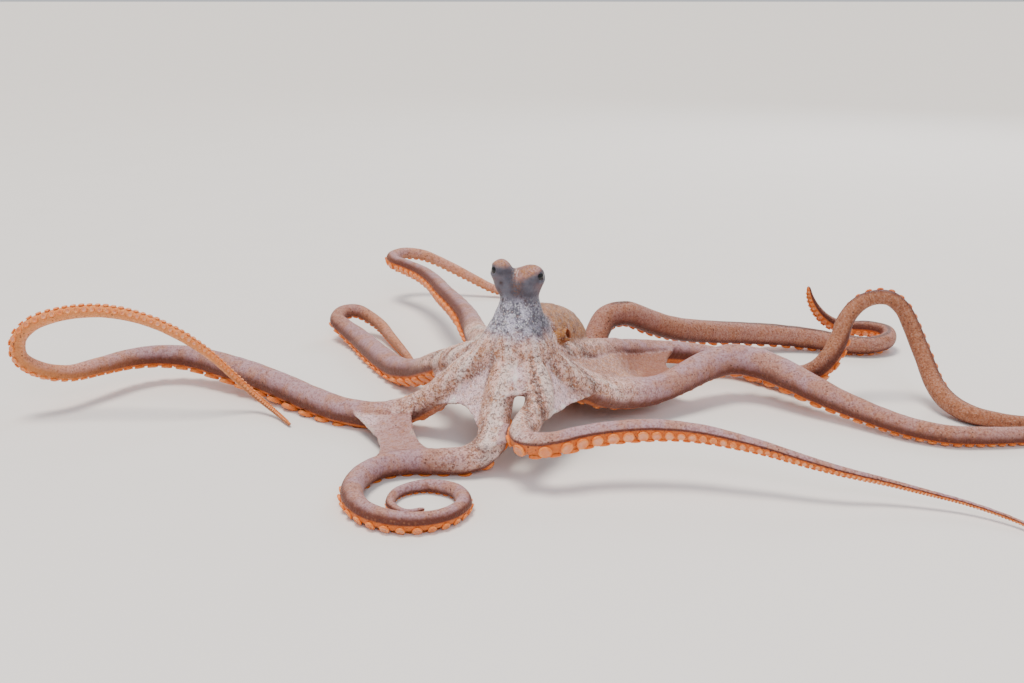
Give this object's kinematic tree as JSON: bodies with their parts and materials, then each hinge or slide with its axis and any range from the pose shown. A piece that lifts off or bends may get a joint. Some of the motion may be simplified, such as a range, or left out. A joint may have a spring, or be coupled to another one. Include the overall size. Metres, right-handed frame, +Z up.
{
  "type": "octopus",
  "caption": "Life-size longarm octopus sprawled on the floor, eyes raised on a tall head, arms spread, curled and looped, joined by a web at their roots.",
  "frame": {"origin": "middle of the whole animal's box, on the floor it rests on", "axes": "+Z up from the floor, -Y the way the animal faces, +X to the animal's left"},
  "size_m": [0.5524, 0.4046, 0.0863],
  "materials": {
    "arm_skin": "moist speckled skin, lilac-brown above and orange on the suckers",
    "web_skin": "thin pale speckled skin",
    "head_skin": "moist grey-white granular skin",
    "mantle_skin": "moist yellow-tan speckled skin",
    "eye": "clear wet gloss over a dark pupil"
  },
  "bodies": {
    "root": {"eye_left": "eye", "eye_right": "eye", "head": "head_skin", "arm_right_1_base": "arm_skin", "arm_right_1_length_2": "arm_skin", "arm_right_1_length_3": "arm_skin", "arm_right_1_tip": "arm_skin", "arm_right_2_base": "arm_skin", "arm_right_2_length_2": "arm_skin", "arm_right_2_length_3": "arm_skin", "arm_right_2_length_4": "arm_skin", "arm_right_2_length_5": "arm_skin", "arm_right_2_tip": "arm_skin", "arm_right_3_base": "arm_skin", "arm_right_3_length_2": "arm_skin", "arm_right_3_length_3": "arm_skin", "arm_right_3_tip": "arm_skin", "arm_right_4_base": "arm_skin", "arm_right_4_length_2": "arm_skin", "arm_right_4_length_3": "arm_skin", "arm_right_4_length_4": "arm_skin", "arm_right_4_tip": "arm_skin", "arm_left_4_base": "arm_skin", "arm_left_4_length_2": "arm_skin", "arm_left_4_length_3": "arm_skin", "arm_left_4_length_4": "arm_skin", "arm_left_4_tip": "arm_skin", "arm_left_3_base": "arm_skin", "arm_left_3_length_2": "arm_skin", "arm_left_3_length_3": "arm_skin", "arm_left_3_length_4": "arm_skin", "arm_left_3_length_5": "arm_skin", "arm_left_3_tip": "arm_skin", "arm_left_2_base": "arm_skin", "arm_left_2_length_2": "arm_skin", "arm_left_2_length_3": "arm_skin", "arm_left_2_length_4": "arm_skin", "arm_left_2_tip": "arm_skin", "arm_left_1_base": "arm_skin", "arm_left_1_length_2": "arm_skin", "arm_left_1_length_3": "arm_skin", "arm_left_1_tip": "arm_skin", "mantle": "mantle_skin", "funnel": "mantle_skin", "web_front": "web_skin", "web_right_1_2": "web_skin", "web_right_2_3": "web_skin", "web_right_3_4": "web_skin", "web_back": "web_skin", "web_left_3_4": "web_skin", "web_left_2_3": "web_skin", "web_left_1_2": "web_skin", "web_curtain": "web_skin"}
  },
  "joints": []
}
